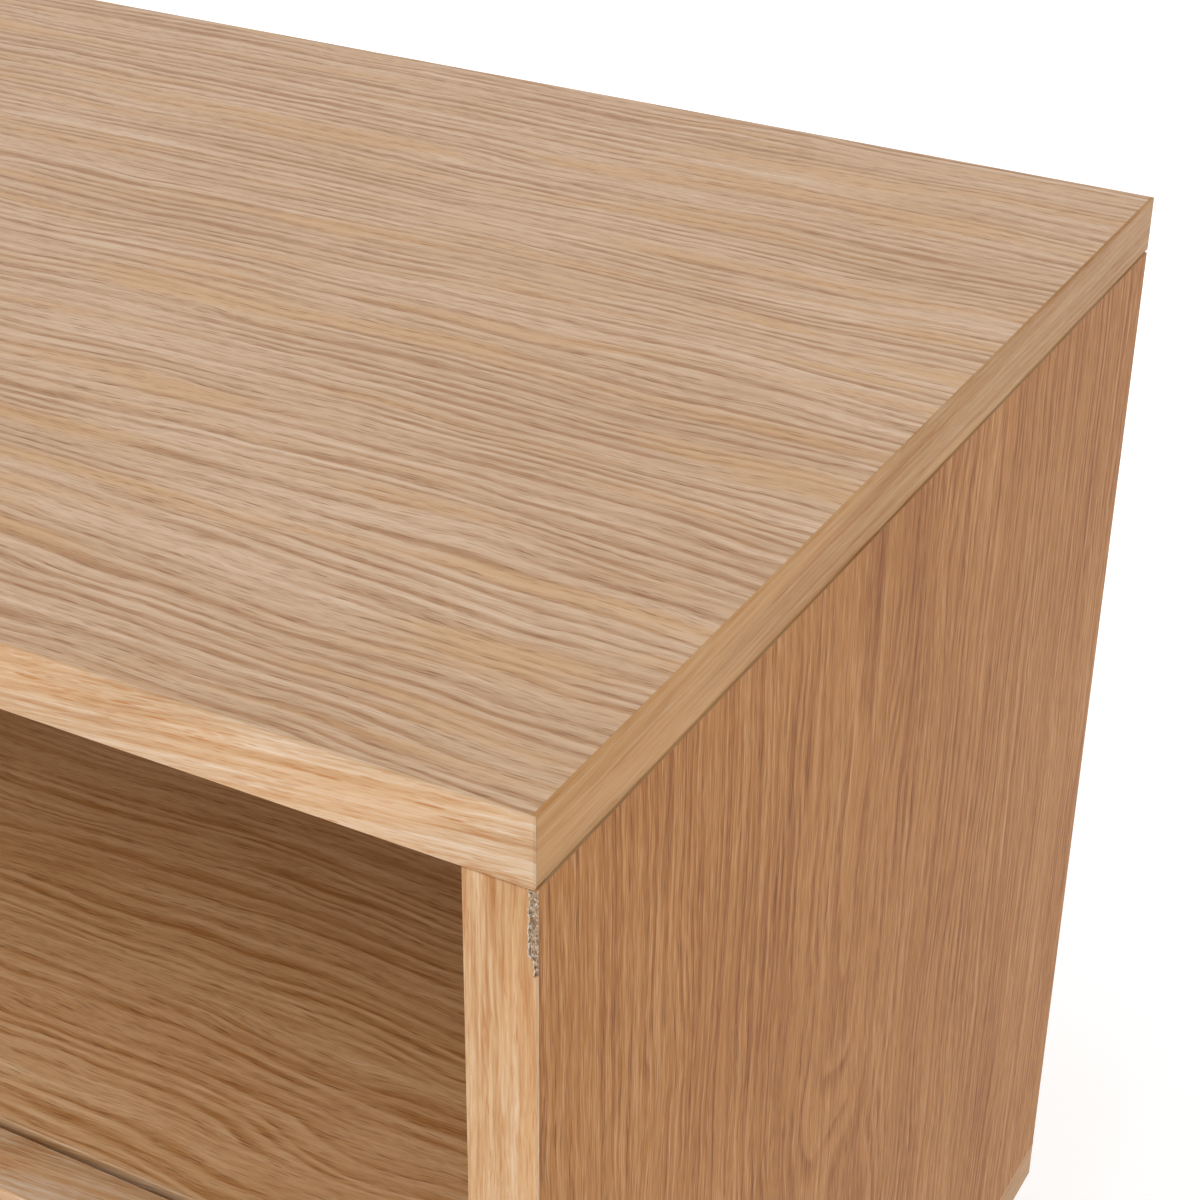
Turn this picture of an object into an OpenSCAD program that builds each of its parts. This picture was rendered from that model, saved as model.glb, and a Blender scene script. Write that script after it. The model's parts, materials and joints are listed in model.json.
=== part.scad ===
// Low media cabinet: one long case on four tapered legs, an open niche over the whole length
// and four inset doors on concealed hinges with push-to-open latches below it.
// X runs along the length, Y to the back, Z up. The origin is on the floor under the centre.

/* [Case] */
// Length of the top and bottom boards
case_l = 1599; // [1200:1:1900]
// Depth of the top and bottom boards
case_d = 400; // [360:1:450]
// Height of the case from its underside to its top
case_h = 418; // [400:1:520]
// Height of the underside above the floor
leg_h = 132; // [100:1:180]
// Thickness of every board
board_t = 18; // [18:0.5:19]
// Thickness of the edge bands
band_t = 1; // [0.5:0.1:1.5]
// How far each side stands proud of the ends of the top
side_proud = 0.5; // [0:0.1:1]
// How far the back edges of the sides stop short of the top's back edge
side_short = 2.5; // [0:0.1:4]

/* [Niche, shelves and backs] */
// Distance from the top surface down to the shelves
shelf_drop = 172.5; // [140:0.5:200]
// Thickness of the back boards
back_t = 5; // [4:0.5:6]
// Distance from the case's back edge to the back boards
back_inset = 11; // [10:1:20]
// Depth of the grooves that hold the back boards
groove_d = 6; // [4:0.5:6.5]
// Diameter of the cable holes
cable_d = 60; // [40:1:70]

/* [Doors] */
// Gap between a door and the board that it is hinged to
hinge_gap = 2; // [2:0.1:2.5]
// Gap between the two doors of a bay
meeting_gap = 3; // [2.5:0.1:4]
// Gap below a door
bottom_gap = 2; // [1.5:0.1:3]
// Gap between a closed door and the shelf's edge behind it
push_gap = 3; // [2.5:0.1:4]

/* [Concealed hinges] */
// Diameter of the hinge cup
cup_d = 35; // [35:0.1:35.2]
// Distance from the door's edge to the centre of the cup
cup_in = 22.5; // [22:0.1:23]
// Distance from the door's top and bottom to the hinges
hinge_end = 45; // [40:1:70]
// Diameter of the pivot pins
pin_d = 3; // [2.8:0.1:3.2]
// Running clearance round each pivot pin
pin_play = 0.05; // [0.02:0.01:0.09]

/* [Legs] */
// Diameter of a leg at the top
leg_top_d = 44; // [36:1:50]
// Diameter of a leg at the foot
leg_foot_d = 26; // [22:1:34]
// Distance from the end of the case to the centre of a leg
leg_end = 105; // [80:5:300]
// Distance from the front and back of the case to the centre of a leg
leg_side = 65; // [50:1:90]
// Thickness of the glides under the legs
glide_t = 3; // [2:0.5:5]

/* [Hidden] */
$fn = 64;

half_l = case_l / 2;
side_x = half_l + side_proud;
inner_x = side_x - board_t;
front_y = -case_d / 2;
back_y = case_d / 2;
side_back_y = back_y - side_short;
case_z0 = leg_h;
floor_z = case_z0 + board_t;
case_z1 = case_z0 + case_h;
ceil_z = case_z1 - board_t;
shelf_z1 = case_z1 - shelf_drop;
shelf_z0 = shelf_z1 - board_t;
shelf_z = (shelf_z0 + shelf_z1) / 2;
shelf_front_y = front_y + board_t + push_gap;
back_y1 = back_y - back_inset;
back_y0 = back_y1 - back_t;
back_play = 0.1;
shelf_back_gap = 0.5;
cable_x = (inner_x + board_t / 2) / 2;
cable_z = [(shelf_z1 + ceil_z) / 2, (floor_z + shelf_z0) / 2];
eps = 0.01;
fit_play = 0.05;

// Doors: the side's wall face, and the way into the bay from it
door_wall = [-inner_x, -board_t / 2, board_t / 2, inner_x];
door_way = [1, -1, 1, -1];
bay_w = inner_x - board_t / 2;
door_w = (bay_w - 2 * hinge_gap - meeting_gap) / 2;
door_z0 = floor_z + bottom_gap;
door_z1 = shelf_z1;
hinge_zs = [door_z0 + hinge_end, door_z1 - hinge_end];

// Hinge, in a frame with u from the wall into the bay and v from the door's face to the back
cup_u = hinge_gap + cup_in;
cup_r = cup_d / 2;
cup_wall = 0.65;
cup_v = 5.5;
flange_t = 1;
cup_pin = [15.5, 12.5];
arm_pin = [35, 25.5];
link_low = [[23, 8.8], [34, 10]];
link_t = 2.2;
link_h = 8;
ear_z0 = 4.4;
ear_z1 = 6;
peg_u = cup_u + 9.5;
peg_z = 22.5;
peg_d = 8;
peg_l = 11;
plate_v = board_t + push_gap + 37;
plate_t = 5.5;
plate_l = [-18, 22];
wing_t = 2;
wing_hole_z = 16;
wing_half = 6;
cup_rim = 4;
flange_edge = [5, 5.5];
ear_w = 5.8;
cup_eye_d = 5.4;
arm_eye_d = 6;
tip_d = 7;
pin_end = 0.5;
arm_outline = [
    [plate_t, 40], [28, 27.5], arm_pin + [-1.6, -3], arm_pin + [2, 2.6],
    [24, 40], [17, 48], [16, 82], [plate_t, 82],
];
web_outline = [[15, 44], [19, 41], [17, 48], [16, 82], [14, 82], [14, 48]];
plate_screw_d = 5;
plate_screw_l = 8;
plate_head_d = 8;
plate_head_t = 2;
cross_w = 1.2;
cross_l = 6;
cross_depth = 1;
screw_spare = 0.2;
peg_spare = 0.3;

// Push latch, under the shelf
latch_w = 12;
latch_l = 76;
latch_off = 30;
latch_v0 = board_t + push_gap + 1;
latch_z = shelf_z0 - latch_w / 2;
plunger_d = 8;
plunger_l = 42;
strike_t = 1;
strike_d = 14;
strike_play = 0.3;
plunger_play = 0.2;
plunger_tip = [1.5, 1];
spring_room = 5;
latch_screw_d = 3;
latch_screw_in = 10;
latch_head_d = 6;
latch_head_t = 1.5;
latch_screw_vs = [latch_v0 + 56, latch_v0 + 68];

// Knock-down joints between the uprights and the top and bottom
cam_d = 15;
cam_depth = 12.5;
cam_hole = 13.6;
cam_end = 34;
cam_ys = [-95, 130];
joint_dowel_ys = [-168, 70];
cam_mouth_d = 7.8;
cam_mouth_l = 4.5;
cam_slot_depth = 1.8;
cam_slot_w = 1.6;
cam_slot_l = 9;
bolt_hole_d = 5.1;
bolt_hole_depth = 11;
bolt_thread = [5, 10.8];
bolt_collar = [7, 3];
bolt_neck_d = 4.4;
bolt_head = [7, 2.5];
shelf_dowel_ys = [100, 130];
dowel_d = 8;
dowel_in_top = 12;
dowel_in_post = 24;
dowel_in_wall = 11;
dowel_in_shelf = 20;
dowel_short = 0.5;
post_x = [-inner_x - board_t / 2, 0, inner_x + board_t / 2];
post_way = [1, 1, -1];

leg_xs = [-1, 1] * (half_l - leg_end);
leg_ys = [-1, 1] * (case_d / 2 - leg_side);
leg_plate_t = 2;
leg_plate_w = 62;
leg_bolt_d = 8;
leg_bolt_in = 25;
leg_bolt_top = 7;
leg_recess_depth = 9;
leg_screw_off = 24;
leg_screw_d = 4;
leg_screw_in = 14;
leg_head_d = 7.5;
leg_head_t = 1.8;
glide_rim = 1.5;
glide_nail_d = 2.4;
glide_nail_l = 10;

// The chip in the right side's band, from its top outer corner
chip_outline = [[1, -21], [-0.7, -20], [-2.5, -15], [-2.3, -2.5], [-1.2, -1], [1, -1]];

module box(x, y, z) {
    translate([x[0], y[0], z[0]])
        cube([x[1] - x[0], y[1] - y[0], z[1] - z[0]]);
}

module rod_x(d, x0, x1) {
    translate([x0, 0, 0])
        rotate([0, 90, 0])
            cylinder(d = d, h = x1 - x0);
}

module rod_y(d, y0, y1) {
    translate([0, y0, 0])
        rotate([-90, 0, 0])
            cylinder(d = d, h = y1 - y0);
}

module rod_z(d, z0, z1) {
    translate([0, 0, z0])
        cylinder(d = d, h = z1 - z0);
}

// Cross slot cut from X = 0 onwards
module cross(depth, w, l) {
    box([0, depth], [-w / 2, w / 2], [-l / 2, l / 2]);
    box([0, depth], [-l / 2, l / 2], [-w / 2, w / 2]);
}

// Straight strip with round ends, in the plane
module strip(a, b, w) {
    run = b - a;
    translate(a) {
        circle(d = w);
        rotate(atan2(run[1], run[0]))
            translate([0, -w / 2])
                square([norm(run), w]);
    }
    translate(b)
        circle(d = w);
}

module slab(h) {
    linear_extrude(height = h, center = true)
        children();
}

// Puts a shape drawn in a hinge's frame at both hinges of a door
module at_hinges(door) {
    for (z = hinge_zs)
        translate([door_wall[door], front_y, z])
            mirror([door_way[door] < 0 ? 1 : 0, 0, 0])
                children();
}

module at_latch(door) {
    way = door_way[door];
    x = door_wall[door] + way * (hinge_gap + door_w + meeting_gap / 2 - latch_off);
    translate([x, front_y, latch_z])
        children();
}

// Boards

module joint_holes(z_face, up) {
    for (x = post_x) {
        for (y = cam_ys)
            translate([x, y, z_face])
                rod_z(bolt_hole_d, up > 0 ? -eps : -bolt_hole_depth, up > 0 ? bolt_hole_depth : eps);
        for (y = joint_dowel_ys)
            translate([x, y, z_face])
                rod_z(dowel_d, up > 0 ? -eps : -dowel_in_top, up > 0 ? dowel_in_top : eps);
    }
}

module back_groove(x, z) {
    box(x, [back_y0 - back_play, back_y1 + back_play], z);
}

module top_panel() {
    color("burlywood")
        difference() {
            box([-half_l + band_t, half_l - band_t], [front_y + band_t, back_y], [ceil_z, case_z1]);
            back_groove([-inner_x - groove_d, inner_x + groove_d], [ceil_z - eps, ceil_z + groove_d]);
            joint_holes(ceil_z, 1);
        }
}

module bottom_panel() {
    color("burlywood")
        difference() {
            box([-half_l + band_t, half_l - band_t], [front_y + band_t, back_y], [case_z0, floor_z]);
            back_groove([-inner_x - groove_d, inner_x + groove_d], [floor_z - groove_d, floor_z + eps]);
            joint_holes(floor_z, -1);
            for (x = leg_xs, y = leg_ys)
                translate([x, y, case_z0]) {
                    rod_z(leg_bolt_d + 2, -eps, leg_recess_depth);
                    for (dx = [-1, 1], dy = [-1, 1])
                        translate([dx, dy, 0] * leg_screw_off)
                            rod_z(leg_screw_d + 2 * fit_play, -eps, leg_screw_in + screw_spare);
                }
        }
}

// Cams, cam bolts and dowels of one upright's ends, cut as holes
module post_holes(i) {
    face = post_x[i] + post_way[i] * board_t / 2;
    for (end = [0, 1], y = cam_ys) {
        z = end == 0 ? floor_z + cam_end : ceil_z - cam_end;
        translate([face, y, z])
            mirror([post_way[i] > 0 ? 1 : 0, 0, 0])
                rod_x(cam_d, -eps, cam_hole);
        translate([post_x[i], y, 0])
            rod_z(dowel_d, end == 0 ? floor_z - eps : z, end == 0 ? z : ceil_z + eps);
    }
    for (y = joint_dowel_ys)
        translate([post_x[i], y, 0]) {
            rod_z(dowel_d, floor_z - eps, floor_z + dowel_in_post);
            rod_z(dowel_d, ceil_z - dowel_in_post, ceil_z + eps);
        }
}

module shelf_dowel_holes(x_face, way, first, depth) {
    for (sy = [-1, 1])
        translate([x_face, sy * shelf_dowel_ys[first], shelf_z])
            mirror([way > 0 ? 0 : 1, 0, 0])
                rod_x(dowel_d, -eps, depth);
}

module plate_screw_holes(door) {
    at_hinges(door)
        for (sz = [-1, 1])
            translate([0, plate_v, sz * wing_hole_z])
                rod_x(plate_screw_d + 2 * fit_play, -plate_screw_l - screw_spare, eps);
}

module left_side() {
    color("burlywood")
        difference() {
            box([-side_x, -inner_x], [front_y + band_t, side_back_y], [floor_z, ceil_z]);
            back_groove([-inner_x - groove_d, -inner_x + eps], [floor_z - eps, ceil_z + eps]);
            post_holes(0);
            shelf_dowel_holes(-inner_x, -1, 0, dowel_in_wall);
            plate_screw_holes(0);
        }
}

module right_side() {
    color("burlywood")
        difference() {
            box([inner_x, side_x], [front_y + band_t, side_back_y], [floor_z, ceil_z]);
            back_groove([inner_x - eps, inner_x + groove_d], [floor_z - eps, ceil_z + eps]);
            post_holes(2);
            shelf_dowel_holes(inner_x, 1, 1, dowel_in_wall);
            plate_screw_holes(3);
        }
}

module centre_upright() {
    half = board_t / 2;
    color("burlywood")
        difference() {
            box([-half, half], [front_y + band_t, side_back_y], [floor_z, ceil_z]);
            for (side = [-1, 1])
                back_groove([side > 0 ? half - groove_d : -half - eps, side > 0 ? half + eps : groove_d - half],
                            [floor_z - eps, ceil_z + eps]);
            post_holes(1);
            shelf_dowel_holes(-half, 1, 0, dowel_in_wall);
            shelf_dowel_holes(half, -1, 1, dowel_in_wall);
            // The screws of the two inner doors meet end to end, with solid board between them
            plate_screw_holes(1);
            plate_screw_holes(2);
        }
}

// A shelf runs between an upright's face and a side's face
module shelf(side) {
    x0 = side < 0 ? -inner_x : board_t / 2;
    x1 = side < 0 ? -board_t / 2 : inner_x;
    first = side < 0 ? 0 : 1;
    difference() {
        box([x0, x1], [shelf_front_y + band_t, back_y0 - shelf_back_gap], [shelf_z0, shelf_z1]);
        shelf_dowel_holes(x0, 1, first, dowel_in_shelf);
        shelf_dowel_holes(x1, -1, first, dowel_in_shelf);
        for (door = side < 0 ? [0, 1] : [2, 3], v = latch_screw_vs)
            at_latch(door)
                translate([0, v, 0])
                    rod_z(latch_screw_d + 2 * fit_play, latch_w / 2 - eps, latch_w / 2 + latch_screw_in + screw_spare);
    }
}

module left_shelf() {
    color("tan")
        shelf(-1);
}

module right_shelf() {
    color("tan")
        shelf(1);
}

module back_board(side) {
    reach = groove_d - back_play;
    x0 = side < 0 ? -inner_x - reach : board_t / 2 - reach;
    x1 = side < 0 ? reach - board_t / 2 : inner_x + reach;
    difference() {
        box([x0, x1], [back_y0, back_y1], [floor_z - reach, ceil_z + reach]);
        for (z = cable_z)
            translate([side * cable_x, 0, z])
                rod_y(cable_d, back_y0 - 1, back_y1 + 1);
    }
}

module left_back() {
    color("wheat")
        back_board(-1);
}

module right_back() {
    color("wheat")
        back_board(1);
}

// Edge bands

module front_band(z) {
    color("peru")
        box([-half_l, half_l], [front_y, front_y + band_t], z);
}

module end_band(side, z) {
    color("peru")
        box([side < 0 ? -half_l : half_l - band_t, side < 0 ? band_t - half_l : half_l],
            [front_y + band_t, back_y], z);
}

module top_front_band() {
    front_band([ceil_z, case_z1]);
}

module top_left_band() {
    end_band(-1, [ceil_z, case_z1]);
}

module top_right_band() {
    end_band(1, [ceil_z, case_z1]);
}

module bottom_front_band() {
    front_band([case_z0, floor_z]);
}

module bottom_left_band() {
    end_band(-1, [case_z0, floor_z]);
}

module bottom_right_band() {
    end_band(1, [case_z0, floor_z]);
}

module post_band(x0) {
    color("peru")
        box([x0, x0 + board_t], [front_y, front_y + band_t], [floor_z, ceil_z]);
}

module left_side_band() {
    post_band(-side_x);
}

// The band of the right side is chipped at its outer corner, just under the top
module right_side_band() {
    difference() {
        post_band(inner_x);
        translate([side_x, front_y + band_t / 2, ceil_z])
            rotate([90, 0, 0])
                linear_extrude(height = 2 * band_t, center = true)
                    polygon(chip_outline);
    }
}

module upright_band() {
    post_band(-board_t / 2);
}

module shelf_band(side) {
    color("peru")
        box([side < 0 ? -inner_x : board_t / 2, side < 0 ? -board_t / 2 : inner_x],
            [shelf_front_y, shelf_front_y + band_t], [shelf_z0, shelf_z1]);
}

module left_shelf_band() {
    shelf_band(-1);
}

module right_shelf_band() {
    shelf_band(1);
}

// Doors

// Lowest and highest X of a door, shrunk by an inset on both sides
function door_x(door, inset) =
    let (a = door_wall[door] + door_way[door] * hinge_gap, b = a + door_way[door] * door_w)
        [min(a, b) + inset, max(a, b) - inset];

module door_panel(door) {
    color("burlywood")
        difference() {
            box(door_x(door, band_t), [front_y, front_y + board_t], [door_z0 + band_t, door_z1 - band_t]);
            at_hinges(door) {
                translate([cup_u, 0, 0])
                    rod_y(cup_d, cup_v, board_t + eps);
                for (sz = [-1, 1])
                    translate([peg_u, 0, sz * peg_z])
                        rod_y(peg_d, board_t - peg_l - peg_spare, board_t + eps);
            }
        }
}

module door_edging(door) {
    y = [front_y, front_y + board_t];
    x = door_x(door, 0);
    color("peru") {
        for (z = [door_z0, door_z1 - band_t])
            box(x, y, [z, z + band_t]);
        for (x0 = [x[0], x[1] - band_t])
            box([x0, x0 + band_t], y, [door_z0 + band_t, door_z1 - band_t]);
    }
}

// Pressed steel cup with its flange, two press-in pegs and the two ears that hold the link's pin
module hinge_cup(door) {
    outer = cup_d - 2 * fit_play;
    inner = outer - 2 * cup_wall;
    floor_v = cup_v + fit_play + cup_wall;
    color("silver")
        at_hinges(door) {
            difference() {
                union() {
                    translate([cup_u, 0, 0])
                        rod_y(outer, cup_v + fit_play, board_t);
                    translate([cup_u, 0, 0])
                        rod_y(cup_d + cup_rim, board_t, board_t + flange_t);
                    box([cup_u - flange_edge[0], peg_u + flange_edge[0]], [board_t, board_t + flange_t],
                        [-peg_z - flange_edge[1], peg_z + flange_edge[1]]);
                }
                translate([cup_u, 0, 0])
                    rod_y(inner, floor_v, board_t + flange_t + 1);
            }
            for (sz = [-1, 1])
                translate([peg_u, 0, sz * peg_z])
                    rod_y(peg_d - 2 * fit_play, board_t - peg_l, board_t + eps);
            for (sz = [-1, 1])
                translate([0, 0, sz * (ear_z0 + ear_z1) / 2])
                    slab(ear_z1 - ear_z0)
                        difference() {
                            union() {
                                translate(cup_pin)
                                    circle(d = ear_w);
                                translate([cup_pin[0] - ear_w / 2, floor_v - eps])
                                    square([ear_w, cup_pin[1] - floor_v]);
                            }
                            translate(cup_pin)
                                circle(d = pin_d + 2 * pin_play);
                        }
        }
}

// Bent link with its two pins: it swings on the arm's tip, and the cup swings on it
module hinge_link(door) {
    color("gainsboro")
        at_hinges(door) {
            slab(link_h) {
                strip(cup_pin, link_low[0], link_t);
                strip(link_low[0], link_low[1], link_t);
                strip(link_low[1], arm_pin, link_t);
                translate(cup_pin)
                    circle(d = cup_eye_d);
                translate(arm_pin)
                    circle(d = arm_eye_d);
            }
            for (p = [cup_pin, arm_pin])
                translate(p)
                    cylinder(d = pin_d, h = 2 * (ear_z1 + pin_end), center = true);
        }
}

module arm_profile() {
    difference() {
        union() {
            translate(arm_pin)
                circle(d = tip_d);
            polygon(arm_outline);
        }
        translate(arm_pin)
            circle(d = pin_d + 2 * pin_play);
    }
}

// Cranked arms: two ears at the tip, joined by a web further back
module hinge_arms() {
    color("silver")
        for (door = [0:3])
            at_hinges(door) {
                for (sz = [-1, 1])
                    translate([0, 0, sz * (ear_z0 + ear_z1) / 2])
                        slab(ear_z1 - ear_z0)
                            arm_profile();
                slab(2 * ear_z0 + 2 * eps)
                    polygon(web_outline);
            }
}

module hinge_plates() {
    color("silver")
        for (door = [0:3])
            at_hinges(door)
                difference() {
                    union() {
                        box([0, plate_t], [plate_v + plate_l[0], plate_v + plate_l[1]], [-ear_z1, ear_z1]);
                        box([0, wing_t], [plate_v - wing_half, plate_v + wing_half],
                            [-wing_hole_z - wing_half, wing_hole_z + wing_half]);
                    }
                    for (sz = [-1, 1])
                        translate([0, plate_v, sz * wing_hole_z])
                            rod_x(plate_screw_d + 2 * fit_play, -1, plate_t);
                }
}

module hinge_plate_screws() {
    color("gray")
        for (door = [0:3])
            at_hinges(door)
                for (sz = [-1, 1])
                    translate([0, plate_v, sz * wing_hole_z]) {
                        rod_x(plate_screw_d, -plate_screw_l, wing_t);
                        difference() {
                            rod_x(plate_head_d, wing_t, wing_t + plate_head_t);
                            translate([wing_t + plate_head_t - cross_depth, 0, 0])
                                cross(cross_depth + 1, cross_w, cross_l);
                        }
                    }
}

// Push latches

module latch_housings() {
    color("lightgray")
        for (door = [0:3])
            at_latch(door)
                difference() {
                    box([-latch_w / 2, latch_w / 2], [latch_v0, latch_v0 + latch_l], [-latch_w / 2, latch_w / 2]);
                    rod_y(plunger_d + plunger_play, latch_v0 - 1, latch_v0 + plunger_l + spring_room);
                    for (v = latch_screw_vs)
                        translate([0, v, 0])
                            rod_z(latch_screw_d + 2 * fit_play, -latch_w, latch_w);
                }
}

module latch_screws() {
    color("gray")
        for (door = [0:3], v = latch_screw_vs)
            at_latch(door)
                translate([0, v, 0]) {
                    rod_z(latch_screw_d, -latch_w / 2, latch_w / 2 + latch_screw_in);
                    rod_z(latch_head_d, -latch_w / 2 - latch_head_t, -latch_w / 2);
                }
}

module plunger(door) {
    tip = board_t + strike_t + strike_play;
    color("white")
        at_latch(door) {
            rod_y(plunger_d, tip + plunger_tip[1], tip + plunger_l);
            rod_y(plunger_d - plunger_tip[0], tip, tip + plunger_tip[1]);
        }
}

module strike(door) {
    color("silver")
        at_latch(door)
            rod_y(strike_d, board_t, board_t + strike_t);
}

// Knock-down fittings

// Zinc cam with its mouth towards the bolt and a cross slot in its face
module cam_locks() {
    color("gray")
        for (i = [0:2], end = [0, 1], y = cam_ys)
            translate([post_x[i] + post_way[i] * board_t / 2, y, end == 0 ? floor_z + cam_end : ceil_z - cam_end])
                mirror([post_way[i] > 0 ? 1 : 0, 0, 0])
                    mirror([0, 0, end == 0 ? 1 : 0])
                        difference() {
                            rod_x(cam_d - 4 * fit_play, 0, cam_depth);
                            translate([board_t / 2, 0, 0])
                                rod_z(cam_mouth_d, -cam_mouth_l, cam_d);
                            translate([-eps, 0, 0])
                                cross(cam_slot_depth + eps, cam_slot_w, cam_slot_l);
                        }
}

// Steel bolts that stand in the top and bottom and are drawn in by the cams
module cam_bolts() {
    color("silver")
        for (x = post_x, end = [0, 1], y = cam_ys)
            translate([x, y, end == 0 ? floor_z : ceil_z])
                mirror([0, 0, end == 0 ? 1 : 0]) {
                    rod_z(bolt_thread[0], 0, bolt_thread[1]);
                    rod_z(bolt_collar[0], -bolt_collar[1], 0);
                    rod_z(bolt_neck_d, -cam_end - 1, -bolt_collar[1]);
                    rod_z(bolt_head[0], -cam_end - 1 - bolt_head[1], -cam_end - 1);
                }
}

// Dowel along X from inside one hole to inside the other
module cross_dowel(d, joint_x, before, after) {
    rod_x(d, joint_x - before + dowel_short, joint_x + after - dowel_short);
}

module dowels() {
    d = dowel_d - 2 * fit_play;
    top_in = dowel_in_top - dowel_short;
    post_in = dowel_in_post - dowel_short;
    color("tan") {
        for (x = post_x, y = joint_dowel_ys)
            translate([x, y, 0]) {
                rod_z(d, floor_z - top_in, floor_z + post_in);
                rod_z(d, ceil_z - post_in, ceil_z + top_in);
            }
        for (sy = [-1, 1]) {
            translate([0, sy * shelf_dowel_ys[0], shelf_z]) {
                cross_dowel(d, -inner_x, dowel_in_wall, dowel_in_shelf);
                cross_dowel(d, -board_t / 2, dowel_in_shelf, dowel_in_wall);
            }
            translate([0, sy * shelf_dowel_ys[1], shelf_z]) {
                cross_dowel(d, board_t / 2, dowel_in_wall, dowel_in_shelf);
                cross_dowel(d, inner_x, dowel_in_shelf, dowel_in_wall);
            }
        }
    }
}

// Legs

module leg(ix, iy) {
    color("burlywood")
        translate([leg_xs[ix], leg_ys[iy], 0])
            difference() {
                translate([0, 0, glide_t])
                    cylinder(d1 = leg_foot_d, d2 = leg_top_d, h = leg_h - leg_plate_t - glide_t);
                rod_z(leg_bolt_d + 2 * fit_play, leg_h - leg_plate_t - leg_bolt_in - 1, leg_h);
                rod_z(glide_nail_d + 2 * fit_play, glide_t - 1, glide_t + glide_nail_l + 1);
            }
}

module leg_plates() {
    half = leg_plate_w / 2;
    color("silver")
        for (x = leg_xs, y = leg_ys)
            translate([x, y, 0])
                difference() {
                    box([-half, half], [-half, half], [leg_h - leg_plate_t, leg_h]);
                    rod_z(leg_bolt_d + 2 * fit_play, 0, leg_h + 1);
                    for (dx = [-1, 1], dy = [-1, 1])
                        translate([dx, dy, 0] * leg_screw_off)
                            rod_z(leg_screw_d + 2 * fit_play, 0, leg_h + 1);
                }
}

module leg_bolts() {
    color("gray")
        for (x = leg_xs, y = leg_ys)
            translate([x, y, 0])
                rod_z(leg_bolt_d, leg_h - leg_plate_t - leg_bolt_in, leg_h + leg_bolt_top);
}

module leg_plate_screws() {
    color("gray")
        for (x = leg_xs, y = leg_ys, dx = [-1, 1], dy = [-1, 1])
            translate([x, y, 0] + [dx, dy, 0] * leg_screw_off) {
                rod_z(leg_screw_d, leg_h - leg_plate_t, leg_h + leg_screw_in);
                rod_z(leg_head_d, leg_h - leg_plate_t - leg_head_t, leg_h - leg_plate_t);
            }
}

module glides() {
    color("dimgray")
        for (x = leg_xs, y = leg_ys)
            translate([x, y, 0]) {
                rod_z(leg_foot_d - 2 * glide_rim, 0, glide_t);
                rod_z(glide_nail_d, glide_t - eps, glide_t + glide_nail_l);
            }
}

top_panel();
bottom_panel();
left_side();
right_side();
centre_upright();
left_shelf();
right_shelf();
left_back();
right_back();
top_front_band();
top_left_band();
top_right_band();
bottom_front_band();
bottom_left_band();
bottom_right_band();
left_side_band();
right_side_band();
upright_band();
left_shelf_band();
right_shelf_band();
door_panel(0);  // left_outer_door
door_panel(1);  // left_inner_door
door_panel(2);  // right_inner_door
door_panel(3);  // right_outer_door
door_edging(0);  // left_outer_edging
door_edging(1);  // left_inner_edging
door_edging(2);  // right_inner_edging
door_edging(3);  // right_outer_edging
hinge_cup(0);  // left_outer_cups
hinge_cup(1);  // left_inner_cups
hinge_cup(2);  // right_inner_cups
hinge_cup(3);  // right_outer_cups
hinge_link(0);  // left_outer_links
hinge_link(1);  // left_inner_links
hinge_link(2);  // right_inner_links
hinge_link(3);  // right_outer_links
strike(0);  // left_outer_strike
strike(1);  // left_inner_strike
strike(2);  // right_inner_strike
strike(3);  // right_outer_strike
plunger(0);  // left_outer_plunger
plunger(1);  // left_inner_plunger
plunger(2);  // right_inner_plunger
plunger(3);  // right_outer_plunger
hinge_arms();
hinge_plates();
hinge_plate_screws();
latch_housings();
latch_screws();
cam_locks();
cam_bolts();
dowels();
leg(0, 0);  // front_left_leg
leg(1, 0);  // front_right_leg
leg(0, 1);  // rear_left_leg
leg(1, 1);  // rear_right_leg
leg_plates();
leg_bolts();
leg_plate_screws();
glides();
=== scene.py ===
import json
import math
import random

import bpy
from mathutils import Matrix, Vector


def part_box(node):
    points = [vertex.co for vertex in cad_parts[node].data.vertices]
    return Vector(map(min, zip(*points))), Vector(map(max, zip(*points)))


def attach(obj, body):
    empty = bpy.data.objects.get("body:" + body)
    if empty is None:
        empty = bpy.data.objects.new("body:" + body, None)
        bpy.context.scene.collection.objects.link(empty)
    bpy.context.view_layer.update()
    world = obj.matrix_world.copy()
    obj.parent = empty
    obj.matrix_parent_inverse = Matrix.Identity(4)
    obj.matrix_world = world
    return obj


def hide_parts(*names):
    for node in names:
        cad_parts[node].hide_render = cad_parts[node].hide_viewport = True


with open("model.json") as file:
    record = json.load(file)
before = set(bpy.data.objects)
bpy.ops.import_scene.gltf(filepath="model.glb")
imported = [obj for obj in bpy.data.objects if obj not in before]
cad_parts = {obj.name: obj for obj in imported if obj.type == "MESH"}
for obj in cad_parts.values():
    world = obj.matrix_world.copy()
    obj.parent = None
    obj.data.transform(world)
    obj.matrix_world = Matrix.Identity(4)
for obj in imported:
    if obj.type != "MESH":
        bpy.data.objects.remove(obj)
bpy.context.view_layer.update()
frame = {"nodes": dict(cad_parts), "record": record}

nodes = frame["nodes"]
bodies = frame["record"]["behaviour"]["bodies"]
bodyOf = {node: body for body, members in bodies.items() for node in members}
slotOf = {part["node"]: part["material_slot"] for part in frame["record"]["subparts"]}
mm = 0.001
print("frame loaded:", len(nodes), "nodes")


# camera and light

cameraLook = {
    "place": (1.0039, -0.5525, 0.8350),
    "view": (-0.4112, 0.7629, -0.4989),
    "up": (-0.2472, 0.4335, 0.8666),
    "lens": 74.53,
}


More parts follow.
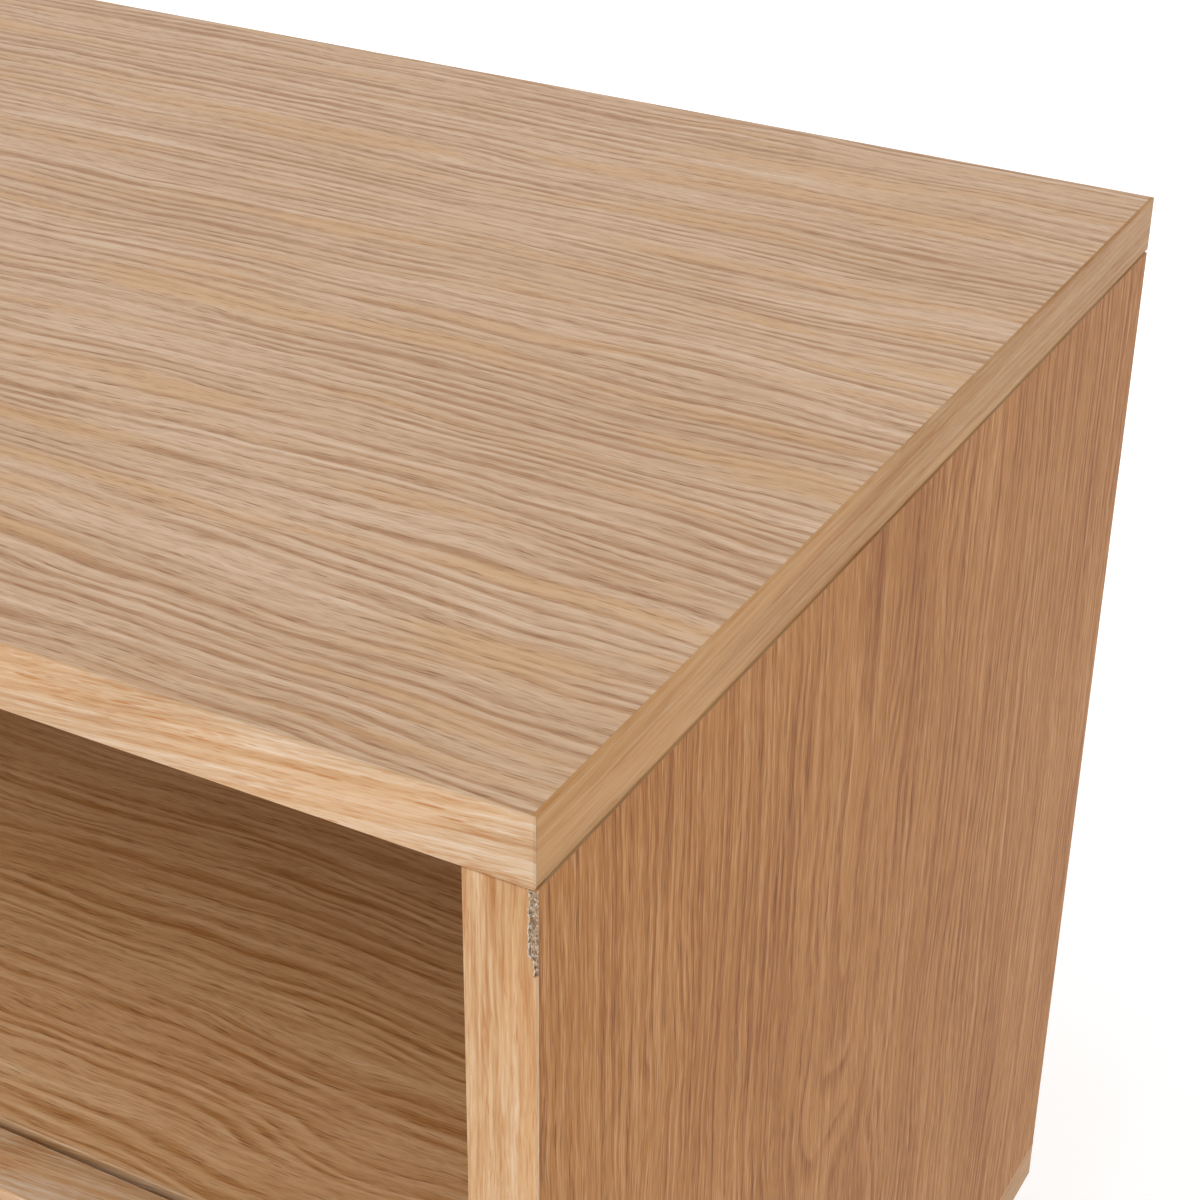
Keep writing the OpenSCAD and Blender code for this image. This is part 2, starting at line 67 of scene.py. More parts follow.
def addCamera():
    back = -Vector(cameraLook["view"]).normalized()
    right = Vector(cameraLook["up"]).cross(back).normalized()
    up = back.cross(right)
    turn = Matrix((right, up, back)).transposed().to_4x4()
    bpy.ops.object.select_all(action="DESELECT")
    bpy.ops.object.camera_add(location=cameraLook["place"])
    camera = bpy.context.object
    camera.matrix_world = Matrix.Translation(cameraLook["place"]) @ turn
    camera.data.lens = cameraLook["lens"]
    camera.data.sensor_width = 36
    camera.data.clip_start = 0.01
    camera.data.dof.use_dof = False
    bpy.context.scene.camera = camera


lightLook = {
    "keyFrom": (-0.32, -0.70, 0.66),
    "keyPower": 1.15,
    "keySoftness": 50,
    "skyPower": 0.80,
}


def addLights():
    bpy.ops.object.light_add(type="SUN", location=(0, -3, 3))
    key = bpy.context.object
    key.rotation_euler = Vector(lightLook["keyFrom"]).to_track_quat("Z", "Y").to_euler()
    key.data.energy = lightLook["keyPower"]
    key.data.angle = math.radians(lightLook["keySoftness"])
    world = bpy.data.worlds.new("studio")
    world.use_nodes = True
    sky = world.node_tree.nodes["Background"]
    sky.inputs["Color"].default_value = (1, 1, 1, 1)
    sky.inputs["Strength"].default_value = lightLook["skyPower"]
    bpy.context.scene.world = world
    bpy.context.scene.view_settings.view_transform = "Standard"


# shader maths

class Wire:
    # a socket's value, which takes part in sums
    def __init__(self, graph, socket):
        self.graph = graph
        self.socket = socket

    def math(self, operation, *others):
        values = dict(enumerate((self,) + others))
        return self.graph.node("Math", {"operation": operation}, values)

    def __add__(self, other):
        return self.math("ADD", other)

    def __sub__(self, other):
        return self.math("SUBTRACT", other)

    def __mul__(self, other):
        return self.math("MULTIPLY", other)

    def __truediv__(self, other):
        return self.math("DIVIDE", other)

    def __rsub__(self, other):
        return self.graph.node("Math", {"operation": "SUBTRACT"}, {0: other, 1: self})

    def sibling(self, output):
        return Wire(self.graph, self.socket.node.outputs[output])

    __radd__ = __add__
    __rmul__ = __mul__


class Graph:
    # one material's nodes
    def __init__(self, name):
        self.material = bpy.data.materials.new(name)
        self.material.use_nodes = True
        self.tree = self.material.node_tree
        self.tree.nodes.clear()

    def node(self, kind, settings=None, values=None, out=None):
        made = self.tree.nodes.new("ShaderNode" + kind)
        for key, value in (settings or {}).items():
            if key == "stops":
                self.setStops(made.color_ramp, value)
            else:
                setattr(made, key, value)
        for key, value in (values or {}).items():
            self.feed(self.find(made.inputs, key), value)
        return Wire(self, self.find(made.outputs, out or 0))

    def find(self, sockets, key):
        usable = [s for s in sockets if s.enabled]
        return usable[key] if isinstance(key, int) else next(s for s in usable if s.name == key)

    def feed(self, socket, value):
        if isinstance(value, Wire):
            self.tree.links.new(value.socket, socket)
        elif socket.type == "RGBA" and len(value) == 3:
            socket.default_value = (*value, 1)
        else:
            socket.default_value = value

    def setStops(self, ramp, stops):
        while len(ramp.elements) < len(stops):
            ramp.elements.new(0.5)
        for element, (at, colour) in zip(ramp.elements, stops):
            element.position = at
            element.color = (*colour, 1)

    def vector(self, x, y, z=0.0):
        return self.node("CombineXYZ", None, {0: x, 1: y, 2: z})

    def noise(self, where, detail=2.0, rough=0.5, size=1.0):
        settings = {"noise_dimensions": "3D"}
        values = {"Vector": where, "Scale": size, "Detail": detail, "Roughness": rough}
        return self.node("TexNoise", settings, values, "Fac")

    def between(self, value, low, high, toLow=0.0, toHigh=1.0):
        values = {0: value, 1: low, 2: high, 3: toLow, 4: toHigh}
        return self.node("MapRange", {"interpolation_type": "SMOOTHSTEP"}, values)

    def mix(self, amount, first, second):
        values = {"Factor": amount, "A": first, "B": second}
        return self.node("Mix", {"data_type": "RGBA"}, values, "Result")

    def finish(self, **values):
        values = {key.replace("_", " "): value for key, value in values.items()}
        shader = self.node("BsdfPrincipled", None, values)
        output = self.tree.nodes.new("ShaderNodeOutputMaterial")
        self.tree.links.new(shader.socket, output.inputs["Surface"])
        return self.material


def linear(part):
    share = part / 255
    return share / 12.92 if share <= 0.04045 else ((share + 0.055) / 1.055) ** 2.4


def shade(*parts):
    # a colour given on the 0-255 scale, as linear light
    return tuple(linear(part) for part in parts)


# oak

oakBase = {
    "grain": "X",            # the way the fibres run
    "seed": 0.0,
    "heart": 0.10,           # place across the grain where the figure's arches stand, in metres
    "heartDepth": 26.0,      # how deep the log's heart lies there, in mm
    "archLean": 0.055,
    "swell": 34.0,
    "archFrom": 0.0,         # place along the grain where the heart is nearest, in metres
    "pitch": 4.4,            # growth ring spacing, in mm
    "uneven": 4.5,
    "slant": 0.0,            # how far the fibres climb across the board for each mm along it
    "wander": 30.0,
    "ripple": 8.0,
    "quiver": 1.4,
    "ringDepth": 0.50,
    "cloudDepth": 0.35,
    "streakDepth": 0.70,
    "streakWidth": 3.0,
    "wispWidth": 0.90,
    "wispDepth": 0.66,
    "fibreDepth": 0.62,
    "mid": (195, 160, 128),
    "spread": 1.0,
    "lean": (0.85, 1.10, 1.30),     # how far red, green and blue move between dark and light wood
    "warm": (196, 152, 104),
    "warmAmount": 0.45,
    "pore": (136, 92, 58),
    "poreLength": 12.0,
    "poreWidth": 0.80,
    "poreDepth": 0.80,
    "pale": 0.0,
    "rough": 0.50,
    "shine": 0.5,
}
darkStep, lightStep = -42, 32


def tones(look):
    # dark and light wood on either side of the middle tone
    made = []
    for at, step in ((0.0, darkStep), (0.5, 0), (1.0, lightStep)):
        shifts = [step * look["spread"] * share for share in look["lean"]]
        made.append((at, shade(*(max(0, part + shift) for part, shift in zip(look["mid"], shifts)))))
    return made


def oak(name, **changes):
    look = {**oakBase, **changes}
    g = Graph(name)
    where = g.node("TexCoord", None, None, "Object")
    axes = {axis: g.node("SeparateXYZ", None, {0: where}, axis) * 1000 for axis in "XYZ"}
    order = {"X": "XYZ", "Y": "YZX", "Z": "ZYX"}[look["grain"]]
    along = axes[order[0]]
    across = axes[order[1]] + axes[order[2]] * 0.83 - along * look["slant"]
    seed = look["seed"]

    def turned(a, b, offset, tilt):
        # a turned plane keeps the noise's lattice from showing as rungs across the grain
        return g.vector(a * 0.80 + b * 0.60 + offset, b * 0.80 - a * 0.60, (a - b) * tilt + offset)

    def strands(line, length, width, offset, detail=2.0, rough=0.55):
        # noise drawn out along the grain
        where = turned(along / length, line / width, seed + offset, 0.31)
        return g.noise(where, detail, rough) - 0.5

    # a broad meander, ripples and a small quiver bend every line of the figure the same way
    meander = strands(across, length=420, width=130, offset=0.0, detail=1.0)
    ripple = strands(across, length=75, width=40, offset=3.0, detail=1.5)
    quiver = strands(across, length=19, width=6, offset=7.0, detail=1.0)
    bent = across + meander * look["wander"] + ripple * look["ripple"] + quiver * look["quiver"]

    # growth rings: a leaning log cut flat, so that they stand in arches over its heart
    away = bent - look["heart"] * 1000
    swell = strands(across, length=120, width=60, offset=11.0, detail=1.5)
    lean = (along - look["archFrom"] * 1000).math("ABSOLUTE") * look["archLean"]
    depth = lean + look["heartDepth"] + swell * look["swell"]
    radius = (away * away + depth * depth).math("SQRT")
    uneven = strands(radius, length=700, width=13, offset=5.0)
    phase = (radius / look["pitch"] + uneven * look["uneven"]).math("FRACT")
    early = g.between(phase, 0.0, 0.22) * g.between(phase, 0.24, 0.85, 1.0, 0.0)
    strength = strands(bent, length=95, width=12, offset=2.0)
    broken = strands(bent, length=26, width=1.6, offset=29.0)
    early = early * g.between(strength, -0.22, 0.08, 0.15, 1.0) * g.between(broken, -0.20, 0.08, 0.35, 1.0)

    # clouds, streaks, wisps and fibres along the grain
    cloud = strands(bent, length=160, width=42, offset=31.0, detail=1.0)
    streak = strands(bent, length=130, width=look["streakWidth"], offset=13.0)
    wisp = strands(bent, length=30, width=look["wispWidth"], offset=17.0, rough=0.6)
    fibre = strands(bent, length=9, width=0.40, offset=19.0, rough=0.6)
    tone = 0.55 + cloud * look["cloudDepth"] + streak * look["streakDepth"]
    tone = tone + wisp * look["wispDepth"] + fibre * look["fibreDepth"] - early * look["ringDepth"]
    colour = g.node("ValToRGB", {"stops": tones(look)}, {0: tone}, "Color")
    patch = strands(bent, length=110, width=11, offset=23.0, detail=1.5)
    colour = g.mix(g.between(patch, -0.02, 0.18) * look["warmAmount"], colour, shade(*look["warm"]))

    # open pores: short dark dashes, closer together in the early wood
    def dashes(length, width, size, amount, offset):
        where = turned(along / length, bent / width, offset, 0.0)
        values = {"Vector": where, "Scale": 1.0, "Randomness": 1.0}
        cell = g.node("TexVoronoi", {"voronoi_dimensions": "2D"}, values, "Distance")
        hue = cell.sibling("Color")
        luck = g.node("SeparateColor", None, {0: hue}, 0)
        weight = g.node("SeparateColor", None, {0: hue}, 1)
        missing = 1 - amount
        there = g.between(luck, missing - 0.04, missing + 0.04)
        return g.between(cell, size * 0.4, size, 1.0, 0.0) * there * (weight * 0.65 + 0.35)

    length, width = look["poreLength"], look["poreWidth"]
    large = dashes(length, width, size=0.36, amount=0.46, offset=0.0)
    small = dashes(length * 0.45, width * 0.6, size=0.38, amount=0.50, offset=40.0)
    crowd = early * 0.9 + g.between(strength, 0.16, -0.12) * 0.3 + 0.28
    pores = ((large + small * 0.7) * crowd).math("MINIMUM", 1.0)
    colour = g.mix(pores * look["poreDepth"], colour, shade(*look["pore"]))
    if look["pale"]:
        light = dashes(length * 0.7, width * 1.1, size=0.34, amount=0.30, offset=80.0)
        colour = g.mix(light * look["pale"], colour, tones(look)[2][1])

    relief = fibre * 0.3 + wisp * 0.2 - pores * 0.9
    bump = g.node("Bump", None, {"Strength": 0.4, "Distance": 0.00012, "Height": relief}, "Normal")
    rough = look["rough"] + wisp * 0.08 + pores * 0.15
    return g.finish(Base_Color=colour, Roughness=rough, Normal=bump, Specular_IOR_Level=look["shine"])


# plain finishes with their own fine detail

def metal(name, tint, rough):
    g = Graph(name)
    where = g.node("TexCoord", None, None, "Object")
    cloud = g.noise(where, 3.0, 0.6, 90)
    grit = g.noise(where, 2.0, 0.6, 2600)
    colour = g.mix(g.between(cloud, 0.3, 0.7) * 0.35, tint, tuple(part * 0.82 for part in tint))
    bump = g.node("Bump", None, {"Strength": 0.1, "Distance": 0.00002, "Height": grit}, "Normal")
    return g.finish(Base_Color=colour, Metallic=1.0, Roughness=rough + (cloud - 0.5) * 0.2, Normal=bump)


def moulded(name, tint, rough):
    g = Graph(name)
    where = g.node("TexCoord", None, None, "Object")
    cloud = g.noise(where, 2.0, 0.5, 60)
    grit = g.noise(where, 2.0, 0.6, 3200)
    colour = g.mix(g.between(cloud, 0.3, 0.7) * 0.25, tint, tuple(part * 0.88 for part in tint))
    bump = g.node("Bump", None, {"Strength": 0.25, "Distance": 0.00004, "Height": grit}, "Normal")
    return g.finish(Base_Color=colour, Roughness=rough + (grit - 0.5) * 0.1, Normal=bump)


brightest = 245
coreTones = ((0.0, (150, 120, 92)), (0.3, (182, 154, 126)), (0.7, (208, 186, 160)), (1.0, (232, 218, 200)))


def particleCore(name, lift=1.0):
    g = Graph(name)
    where = g.node("TexCoord", None, None, "Object")
    chips = g.node("TexVoronoi", None, {"Vector": where, "Scale": 1900.0}, "Color")
    pick = g.node("SeparateColor", None, {0: chips}, 0)
    stops = []
    for at, tint in coreTones:
        stops.append((at, shade(*(min(brightest, part * lift) for part in tint))))
    colour = g.node("ValToRGB", {"stops": stops}, {0: pick}, "Color")
    grit = g.noise(where, 3.0, 0.6, 2400)
    bump = g.node("Bump", None, {"Strength": 0.8, "Distance": 0.0003, "Height": pick + grit}, "Normal")
    return g.finish(Base_Color=colour, Roughness=0.85, Normal=bump)


bandWood = {
    "mid": (189, 153, 115), "warm": (204, 156, 104), "warmAmount": 0.35, "lean": (0.85, 1.30, 1.80),
    "pore": (174, 114, 60), "poreLength": 13.0, "poreWidth": 0.80, "poreDepth": 0.95,
    "pitch": 7.0, "heartDepth": 160.0, "wander": 2.0, "ripple": 1.6, "quiver": 0.8, "ringDepth": 0.2,
    "streakDepth": 1.15, "streakWidth": 1.4, "wispDepth": 0.75, "fibreDepth": 0.7,
}
# the end bands' oak: band oak with a darker middle tone, painted shade for faces turned away from the key
shadedEndWood = {
    **bandWood, "mid": (171, 127, 79), "spread": 0.65, "poreDepth": 0.35, "cloudDepth": 0.15,
    "streakDepth": 0.9, "shine": 0.2,
}
postWood = {**bandWood, "mid": (188, 146, 100), "spread": 0.95}
topWood = {
    "heart": 0.14, "archFrom": 0.55, "archLean": 0.10, "heartDepth": 34.0, "uneven": 2.6, "ringDepth": 0.60,
    "mid": (196, 162, 130), "spread": 0.85, "warmAmount": 0.6, "rough": 0.48,
}
# the sides' oak: its darker, more orange middle, warm and pore tones are painted shade and painted warm
# bounce light, as the sides look turned away from the key; the upright takes this look with its own lighter
# middle tone
shadedSideWood = {
    "heart": 0.64, "archFrom": 0.60, "pitch": 4.2, "ringDepth": 0.30,
    "mid": (167, 110, 50), "warm": (170, 113, 56), "spread": 1.25, "lean": (0.90, 1.10, 1.45),
    "pore": (112, 70, 34), "poreWidth": 0.55, "poreLength": 19.0, "poreDepth": 0.95, "pale": 0.5,
    "streakWidth": 1.8, "wispWidth": 0.65, "wispDepth": 0.8, "fibreDepth": 0.8, "shine": 0.12,
}
uprightWood = {**shadedSideWood, "heart": 0.0, "archFrom": 0.0, "mid": (186, 146, 106)}


def makeFinishes():
    # named after the record's material slots, apart from the oak ones and the board's core
    return {
        "top": oak("oak top", seed=4.3, **topWood),
        "bottom": oak("oak bottom", seed=9.1, heart=0.05),
        "shelf": oak("oak shelf", seed=14.7, heart=0.02, heartDepth=60.0, mid=(204, 162, 115)),
        "side": oak("oak side", seed=21.2, grain="Z", **shadedSideWood),
        "upright": oak("oak upright", seed=27.9, grain="Z", **uprightWood),
        "door": oak("oak door", seed=33.3, heart=0.25, heartDepth=40.0, mid=(196, 158, 122)),
        "frontBand": oak("oak front band", seed=41.6, grain="X", slant=0.08, **bandWood),
        "endBand": oak("oak end band", seed=46.2, grain="Y", **shadedEndWood),
        "postBand": oak("oak post band", seed=52.8, grain="Z", **postWood),
        "leg": oak("solid oak leg", seed=60.5, grain="Z", heartDepth=80.0),
        "back": oak("back board", seed=66.1, streakDepth=0.4, ringDepth=0.2, mid=(184, 150, 116)),
        "beech": moulded("beech", shade(206, 176, 140), 0.6),
        "plated_steel": metal("nickel plated steel", (0.78, 0.77, 0.74), 0.28),
        "screw_steel": metal("zinc plated screws", (0.62, 0.63, 0.64), 0.36),
        "cast_zinc": metal("cast zinc", (0.50, 0.51, 0.52), 0.45),
        "grey_plastic": moulded("grey plastic", shade(168, 168, 168), 0.45),
        "white_plastic": moulded("white plastic", shade(232, 231, 226), 0.4),
        "glide_rubber": moulded("black rubber", shade(44, 43, 42), 0.7),
        "torn": particleCore("torn edge", 1.22),
        "core": particleCore("particle core"),
    }


# shaping helpers

def pick(obj, kind, test):
    # selects the faces or edges whose corners all pass a test, and leaves the object in edit mode
    bpy.ops.object.select_all(action="DESELECT")
    bpy.context.view_layer.objects.active = obj
    obj.select_set(True)
    bpy.ops.object.mode_set(mode="EDIT")
    bpy.ops.mesh.select_mode(type={"edges": "EDGE", "polygons": "FACE"}[kind])
    bpy.ops.mesh.select_all(action="DESELECT")
    bpy.ops.object.mode_set(mode="OBJECT")
    corners = obj.data.vertices
    for part in getattr(obj.data, kind):
        part.select = all(test(corners[i].co) for i in part.vertices)
    bpy.ops.object.mode_set(mode="EDIT")


def leaveEdit():
    bpy.ops.object.mode_set(mode="OBJECT")


touching = 0.02 * mm


def near(value, target):
    return abs(value - target) < touching


def block(name, low, high):
    # a box between two corners, its place in its mesh
    bpy.ops.object.select_all(action="DESELECT")
    middle = [(a + b) / 2 for a, b in zip(low, high)]
    bpy.ops.mesh.primitive_cube_add(size=1, location=middle)
    obj = bpy.context.object
    obj.name = name
    obj.scale = [b - a for a, b in zip(low, high)]
    bpy.ops.object.transform_apply(location=True, rotation=True, scale=True)
    return obj


def useModifier(obj, kind, **settings):
    bpy.ops.object.select_all(action="DESELECT")
    bpy.context.view_layer.objects.active = obj
    obj.select_set(True)
    modifier = obj.modifiers.new(kind.lower(), kind)
    for key, value in settings.items():
        setattr(modifier, key, value)
    bpy.ops.object.modifier_apply(modifier=modifier.name)


def softenAll(obj, width, segments, angle=30):
    useModifier(obj, "BEVEL", width=width, segments=segments, limit_method="ANGLE",
                angle_limit=math.radians(angle), use_clamp_overlap=True)


mergeLook = {"join": 0.002, "flat": 0.5}    # mm and degrees


def merged(name, node):
    # a copy of a CAD node with its loose triangles joined and its flat faces made whole
    source = nodes[node]
    obj = bpy.data.objects.new(name, source.data.copy())
    bpy.context.scene.collection.objects.link(obj)
    bpy.ops.object.select_all(action="DESELECT")
    bpy.context.view_layer.objects.active = obj
    obj.select_set(True)
    bpy.ops.object.mode_set(mode="EDIT")
    bpy.ops.mesh.select_all(action="SELECT")
    bpy.ops.mesh.remove_doubles(threshold=mergeLook["join"] * mm)
    bpy.ops.mesh.dissolve_limited(angle_limit=math.radians(mergeLook["flat"]))
    leaveEdit()
    return obj


def smoothed(obj, angle):
    bpy.ops.object.select_all(action="DESELECT")
    bpy.context.view_layer.objects.active = obj
    obj.select_set(True)
    bpy.ops.object.shade_smooth_by_angle(angle=math.radians(angle))


def settle(obj, node, *materials):
    obj.data.materials.clear()
    for material in materials:
        obj.data.materials.append(material)
    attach(obj, bodyOf[node])
    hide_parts(node)


addCamera()
addLights()
finish = makeFinishes()
print("finishes made:", len(finish))


# boards: veneered faces, raw edges where no band covers them, and on the uprights' top and bottom edges the
# paler end-band oak as a painted highlight along the seams

boardLook = {"arris": 0.12, "segments": 2, "facing": 0.15, "sealed": 0.3}
veneerOf = {
    "top_panel": "top", "bottom_panel": "bottom", "left_side": "side", "right_side": "side",
    "centre_upright": "upright", "left_shelf": "shelf", "right_shelf": "shelf",
    "left_back": "back", "right_back": "back",
}
for node in nodes:
    if slotOf[node] == "oak_veneer" and node.endswith("_door"):
        veneerOf[node] = "door"
# the axis that a board's faces look along, where it isn't Z
faceAxis = {"left_side": 0, "right_side": 0, "centre_upright": 0, "left_back": 1, "right_back": 1}
for node, veneer in veneerOf.items():
    board = merged(node + "_board", node)
    softenAll(board, boardLook["arris"] * mm, boardLook["segments"])
    settle(board, node, finish[veneer], finish["core"], finish["endBand"])
    axis = 1 if node.endswith("_door") else faceAxis.get(node, 2)
    for face in board.data.polygons:
        # the uprights' top and bottom edges take the paler end-band oak, a painted highlight along the
        # seams
        if axis == 0 and abs(face.normal.z) > boardLook["sealed"]:
            face.material_index = 2
        elif abs(face.normal[axis]) > boardLook["facing"]:
            face.material_index = 0
        else:
            face.material_index = 1
print("boards made:", len(veneerOf))


# edge bands

bandLook = {"arris": 0.45, "segments": 3, "glueLine": 0.06, "corner": 60, "smooth": 40}


def band(node, finishName, outer):
    # outer tests whether an edge is one of the band's free arrises
    low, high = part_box(node)
    obj = block(node + "_strip", low, high)
    pick(obj, "edges", outer(low, high))
    bpy.ops.mesh.bevel(offset=bandLook["arris"] * mm, segments=bandLook["segments"], affect="EDGES")
    leaveEdit()
    softenAll(obj, bandLook["glueLine"] * mm, 1, bandLook["corner"])
    smoothed(obj, bandLook["smooth"])
    settle(obj, node, finish[finishName])


def frontArris(low, high):
    return lambda co: near(co.y, low.y) and (near(co.z, high.z) or near(co.z, low.z))


def postArris(low, high):
    return lambda co: near(co.y, low.y) and (near(co.x, high.x) or near(co.x, low.x))


def endArris(low, high):
    free = high.x if high.x > 0 else low.x
    return lambda co: near(co.x, free) and (near(co.z, high.z) or near(co.z, low.z))


for node in ("top_front_band", "bottom_front_band", "left_shelf_band", "right_shelf_band"):
    band(node, "frontBand", frontArris)
for node in ("top_left_band", "top_right_band", "bottom_left_band", "bottom_right_band"):
    band(node, "endBand", endArris)
for node in ("left_side_band", "upright_band"):
    band(node, "postBand", postArris)
print("bands made")


# the chipped band of the right side, and the board's core that shows in the chip

chipLook = {
    "width": 1.9, "height": 18.0, "below": 0.1, "past": 2.0, "tail": 0.7, "tailHeight": 4.0,
    "rag": 0.28, "cuts": 17, "seed": 7,
}


def chipCutter(low, high):
    # a block over the chip, its inner wall ragged from level to level
    dice = random.Random(chipLook["seed"])
    wall = high.x - chipLook["width"] * mm
    foot = high.z - (chipLook["height"] + chipLook["tailHeight"]) * mm
    past = chipLook["past"] * mm
    head = high.z - chipLook["below"] * mm
    cutter = block("chip_cutter", (wall, low.y - past, foot), (high.x + past, high.y + past, head))
    pick(cutter, "edges", lambda co: near(co.x, wall))
    bpy.ops.mesh.subdivide(number_cuts=chipLook["cuts"])
    leaveEdit()
    shifts = {}
    for corner in cutter.data.vertices:
        if near(corner.co.x, wall):
            level = round(corner.co.z / mm, 1)
            if level not in shifts:
                inTail = level * mm < foot + chipLook["tailHeight"] * mm
                narrower = chipLook["width"] - chipLook["tail"] if inTail else 0
                shifts[level] = dice.uniform(-1, 1) * chipLook["rag"] + narrower
            corner.co.x += shifts[level] * mm
    return cutter


low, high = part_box("right_side_band")
chipped = block("right_side_band_strip", low, high)
pick(chipped, "edges", postArris(low, high))
bpy.ops.mesh.bevel(offset=bandLook["arris"] * mm, segments=bandLook["segments"], affect="EDGES")
leaveEdit()
cutter = chipCutter(low, high)
useModifier(chipped, "BOOLEAN", operation="DIFFERENCE", solver="EXACT", object=cutter)
bpy.data.objects.remove(cutter)
settle(chipped, "right_side_band", finish["postBand"], finish["torn"])
for face in chipped.data.polygons:
    inset = (high.x - face.center.x) / mm
    inside = 0.1 < inset < 3 and face.center.z < high.z - 0.05 * mm
    if inside and abs(face.normal.y) < 0.5 and abs(face.normal.x) > 0.3:
        face.material_index = 1

coreLook = {
    "from": (-3.0, -0.30, -22.5),   # from the band's upper back corner, in mm
    "to": (-0.12, 0.40, -0.2),
    "rough": 0.35, "jog": 0.04, "cuts": 40, "seed": 11,
}
corner = Vector((high.x, high.y, high.z))
crumbs = block("chip_core", corner + Vector(coreLook["from"]) * mm, corner + Vector(coreLook["to"]) * mm)
pick(crumbs, "edges", lambda co: True)
bpy.ops.mesh.subdivide(number_cuts=coreLook["cuts"])
leaveEdit()
dice = random.Random(coreLook["seed"])
for corner in crumbs.data.vertices:
    if corner.co.y < high.y:
        corner.co.y += dice.uniform(-0.3, 1.0) * coreLook["rough"] * mm
        corner.co.x += dice.uniform(-1, 1) * coreLook["jog"] * mm
crumbs.data.materials.append(finish["core"])
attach(crumbs, "cabinet")
print("chip made")


# doors' edging: one mitred ring, copied to the other doors

edgingLook = {"arris": 0.45, "segments": 3, "smooth": 40, "uprights": 1.1}


def copied(original, name, shift):
    obj = original.copy()
    obj.data = original.data.copy()
    obj.name = name
    bpy.context.scene.collection.objects.link(obj)
    bpy.ops.object.select_all(action="DESELECT")
    bpy.context.view_layer.objects.active = obj
    obj.select_set(True)
    bpy.ops.transform.translate(value=shift)
    bpy.ops.object.transform_apply(location=True, rotation=True, scale=True)
    return obj


def makeRing(node):
    low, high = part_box(node)
    bandLow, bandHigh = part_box("top_front_band")
    thick = bandHigh.y - bandLow.y
    half = thick / 2
    ring = block(node + "_ring", low, high)
    for depth in (low.y, high.y):
        pick(ring, "polygons", lambda co: near(co.y, depth))
        bpy.ops.mesh.inset(thickness=thick)
        bpy.ops.mesh.delete(type="FACE")
        leaveEdit()

    def inner(co):
        inX = low.x + half < co.x < high.x - half
        return inX and low.z + half < co.z < high.z - half

    def onRim(co):
        atEnd = near(co.x, low.x) or near(co.x, high.x)
        return near(co.y, low.y) and (atEnd or near(co.z, low.z) or near(co.z, high.z))

    pick(ring, "edges", inner)
    bpy.ops.mesh.bridge_edge_loops()
    bpy.ops.mesh.select_all(action="SELECT")
    bpy.ops.mesh.normals_make_consistent(inside=False)
    leaveEdit()
    pick(ring, "edges", onRim)
    bpy.ops.mesh.bevel(offset=edgingLook["arris"] * mm, segments=edgingLook["segments"], affect="EDGES")
    leaveEdit()
    smoothed(ring, edgingLook["smooth"])
    return ring


def repeated(makeOne, members, ending):
    # models the first member and copies it to the others' places
    first = makeOne(members[0])
    home = sum(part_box(members[0]), Vector()) / 2
    made = {members[0]: first}
    for node in members[1:]:
        made[node] = copied(first, node + ending, sum(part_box(node), Vector()) / 2 - home)
    return made


edgings = repeated(makeRing, [n for n in nodes if n.endswith("_edging")], "_ring")
for node, ring in edgings.items():
    settle(ring, node, finish["frontBand"], finish["postBand"])
    low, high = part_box(node)
    for face in ring.data.polygons:
        # the upright strips' grain runs upwards
        fromEnd = min(face.center.x - low.x, high.x - face.center.x)
        face.material_index = 1 if fromEnd < edgingLook["uprights"] * mm else 0
print("edgings made:", len(edgings))


# legs: one turned leg, copied to the other corners

legLook = {"sides": 72, "footRound": 2.5, "topRound": 0.8, "footRim": 1.5, "smooth": 50}


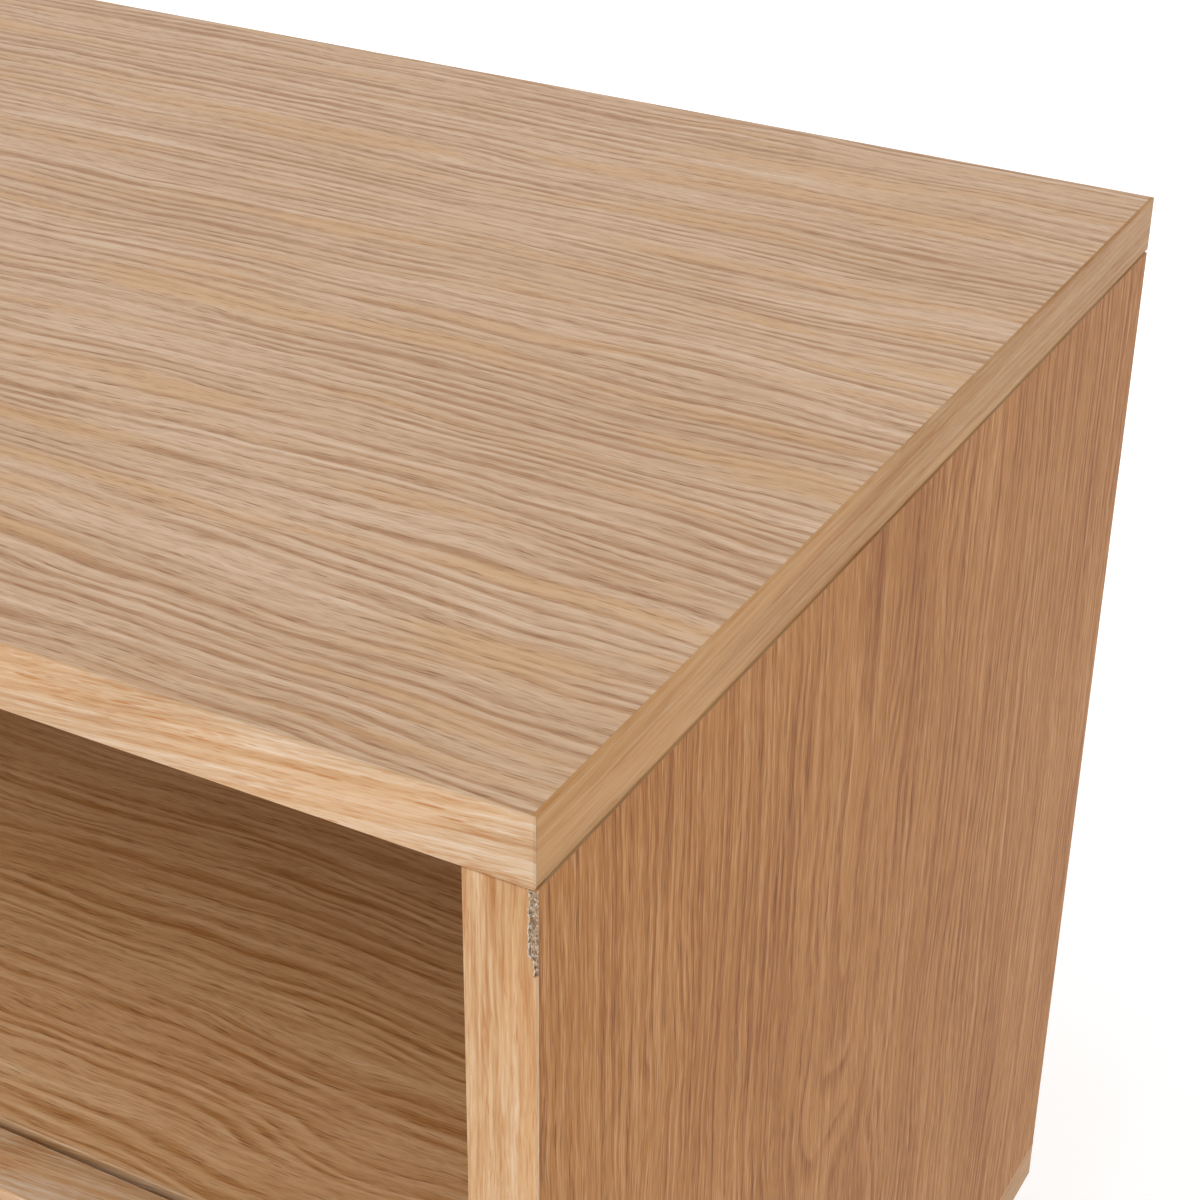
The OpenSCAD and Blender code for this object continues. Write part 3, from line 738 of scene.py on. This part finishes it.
def makeLeg(node):
    low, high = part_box(node)
    glideLow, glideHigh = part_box("glides")
    middle = (low + high) / 2
    footRadius = (glideHigh.x - glideLow.x) / 2 - abs(middle.x) + legLook["footRim"] * mm
    bpy.ops.object.select_all(action="DESELECT")
    bpy.ops.mesh.primitive_cone_add(
        vertices=legLook["sides"], radius1=footRadius, radius2=(high.x - low.x) / 2,
        depth=high.z - low.z, location=middle,
    )
    leg = bpy.context.object
    leg.name = node + "_turned"
    bpy.ops.object.transform_apply(location=True, rotation=True, scale=True)
    for level, width, segments in ((low.z, legLook["footRound"], 6), (high.z, legLook["topRound"], 3)):
        pick(leg, "edges", lambda co: near(co.z, level))
        bpy.ops.mesh.bevel(offset=width * mm, segments=segments, affect="EDGES")
        leaveEdit()
    smoothed(leg, legLook["smooth"])
    return leg


legs = repeated(makeLeg, [n for n in nodes if n.endswith("_leg")], "_turned")
for node, leg in legs.items():
    settle(leg, node, finish["leg"])
print("legs made:", len(legs))


# fittings: the machined and moulded shapes, with their edges eased

fittingLook = {"segments": 2, "sharp": 40, "smooth": 35}
# the width of the eased edges in mm, by the ending of the node's name
easedEdge = {
    "hinge_arms": 0.25, "hinge_plates": 0.4, "hinge_plate_screws": 0.25, "latch_housings": 0.8,
    "latch_screws": 0.25, "cam_locks": 0.2, "leg_plates": 0.4, "leg_plate_screws": 0.4, "glides": 0.6,
    "_cups": 0.2, "_links": 0.2, "_strike": 0.2, "_plunger": 0.6,
}
fittings = 0
for ending, width in easedEdge.items():
    for node in [n for n in nodes if n.endswith(ending)]:
        piece = merged(node + "_part", node)
        softenAll(piece, width * mm, fittingLook["segments"], fittingLook["sharp"])
        smoothed(piece, fittingLook["smooth"])
        settle(piece, node, finish[slotOf[node]])
        fittings += 1
print("fittings made:", fittings)

# hidden in the boards' bores: the CAD shapes are kept as they are
for node in ("cam_bolts", "dowels", "leg_bolts"):
    nodes[node].data.materials.clear()
    nodes[node].data.materials.append(finish[slotOf[node]])


# the floor

floorLook = {"size": 60, "tint": (0.94, 0.94, 0.94), "glow": 0.30}
bpy.ops.mesh.primitive_plane_add(size=floorLook["size"], location=(0, 0, 0))
floor = bpy.context.object
floor.name = "floor"
g = Graph("pale floor")
cloud = g.noise(g.node("TexCoord", None, None, "Object"), 2.0, 0.5, 3)
colour = g.mix(cloud * 0.1, floorLook["tint"], tuple(part * 0.97 for part in floorLook["tint"]))
floor.data.materials.append(g.finish(
    Base_Color=colour, Roughness=0.9, Specular_IOR_Level=0.1,
    Emission_Color=(1, 1, 1), Emission_Strength=floorLook["glow"],
))
